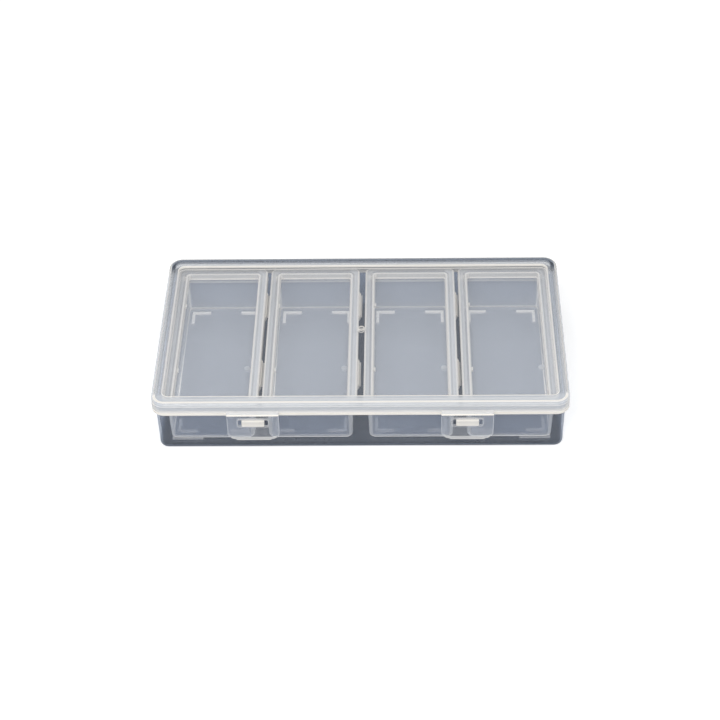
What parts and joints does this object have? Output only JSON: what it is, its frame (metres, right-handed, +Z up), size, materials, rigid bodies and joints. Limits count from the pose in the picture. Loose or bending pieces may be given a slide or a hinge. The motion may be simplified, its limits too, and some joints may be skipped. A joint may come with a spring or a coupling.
{
  "type": "small-parts storage case",
  "caption": "Clear hinged storage case with snap latch flaps on its front, holding a row of loose lidded boxes for beads, craft pieces or small parts",
  "frame": {"origin": "on the table under the middle of the tray's flat underside", "axes": "+X to the right along the case's width, +Y to the hinge at the back, +Z up"},
  "size_m": [0.21, 0.1215, 0.0322],
  "materials": {
    "tray_plastic": "clear moulded polypropylene that reads slate grey, smooth and glossy",
    "lid_plastic": "clear natural polypropylene, glossy, with milky edges",
    "latch_plastic": "clear natural polypropylene, glossy, milky where it is thick",
    "tub_plastic": "natural polypropylene, slightly frosted",
    "box_lid_plastic": "natural polypropylene, slightly frosted panel with a milky frame"
  },
  "bodies": {
    "tray": {"base_tray": "tray_plastic", "case_hinge_films": "tray_plastic"},
    "lid": {"case_lid": "lid_plastic", "latch_hinge_films": "lid_plastic"},
    "left_latch": {"latch_left": "latch_plastic"},
    "right_latch": {"latch_right": "latch_plastic"},
    "box_1": {"box_1_tub": "tub_plastic", "box_1_hinge_films": "tub_plastic"},
    "box_1_cover": {"box_1_lid": "box_lid_plastic"},
    "box_2": {"box_2_tub": "tub_plastic", "box_2_hinge_films": "tub_plastic"},
    "box_2_cover": {"box_2_lid": "box_lid_plastic"},
    "box_3": {"box_3_tub": "tub_plastic", "box_3_hinge_films": "tub_plastic"},
    "box_3_cover": {"box_3_lid": "box_lid_plastic"},
    "box_4": {"box_4_tub": "tub_plastic", "box_4_hinge_films": "tub_plastic"},
    "box_4_cover": {"box_4_lid": "box_lid_plastic"}
  },
  "joints": [
    {"name": "lid_hinge", "type": "hinge", "parent": "tray", "child": "lid", "pos_m": [0, 0.0597, 0.02575], "axis": [-1, 0, 0], "range_deg": [0, 180]},
    {"name": "left_latch_hinge", "type": "hinge", "parent": "lid", "child": "left_latch", "pos_m": [-0.0538, -0.0608, 0.02575], "axis": [-1, 0, 0], "range_deg": [0, 120]},
    {"name": "right_latch_hinge", "type": "hinge", "parent": "lid", "child": "right_latch", "pos_m": [0.0538, -0.0608, 0.02575], "axis": [-1, 0, 0], "range_deg": [0, 120]},
    {"name": "box_1_lift", "type": "slide", "parent": "tray", "child": "box_1", "axis": [0, 0, 1], "range_m": [0, 0.03]},
    {"name": "box_1_lid_hinge", "type": "hinge", "parent": "box_1", "child": "box_1_cover", "pos_m": [-0.05035, 0, 0.02365], "axis": [0, 1, 0], "range_deg": [0, 105]},
    {"name": "box_2_lift", "type": "slide", "parent": "tray", "child": "box_2", "axis": [0, 0, 1], "range_m": [0, 0.03]},
    {"name": "box_2_lid_hinge", "type": "hinge", "parent": "box_2", "child": "box_2_cover", "pos_m": [-0.00035, 0, 0.02365], "axis": [0, 1, 0], "range_deg": [0, 105]},
    {"name": "box_3_lift", "type": "slide", "parent": "tray", "child": "box_3", "axis": [0, 0, 1], "range_m": [0, 0.03]},
    {"name": "box_3_lid_hinge", "type": "hinge", "parent": "box_3", "child": "box_3_cover", "pos_m": [0.05085, 0, 0.02365], "axis": [0, 1, 0], "range_deg": [0, 105]},
    {"name": "box_4_lift", "type": "slide", "parent": "tray", "child": "box_4", "axis": [0, 0, 1], "range_m": [0, 0.03]},
    {"name": "box_4_lid_hinge", "type": "hinge", "parent": "box_4", "child": "box_4_cover", "pos_m": [0.10085, 0, 0.02365], "axis": [0, 1, 0], "range_deg": [0, 105]}
  ],
  "couplings": [
    {"joint": "box_1_lift", "follows": "lid_hinge", "m_per_rad": 0.0044},
    {"joint": "box_1_lid_hinge", "follows": "lid_hinge", "ratio": 0.12},
    {"joint": "box_2_lift", "follows": "lid_hinge", "m_per_rad": 0.0044},
    {"joint": "box_2_lid_hinge", "follows": "lid_hinge", "ratio": 0.12},
    {"joint": "box_3_lift", "follows": "lid_hinge", "m_per_rad": 0.0044},
    {"joint": "box_3_lid_hinge", "follows": "lid_hinge", "ratio": 0.12},
    {"joint": "box_4_lift", "follows": "lid_hinge", "m_per_rad": 0.0044},
    {"joint": "box_4_lid_hinge", "follows": "lid_hinge", "ratio": 0.12}
  ]
}
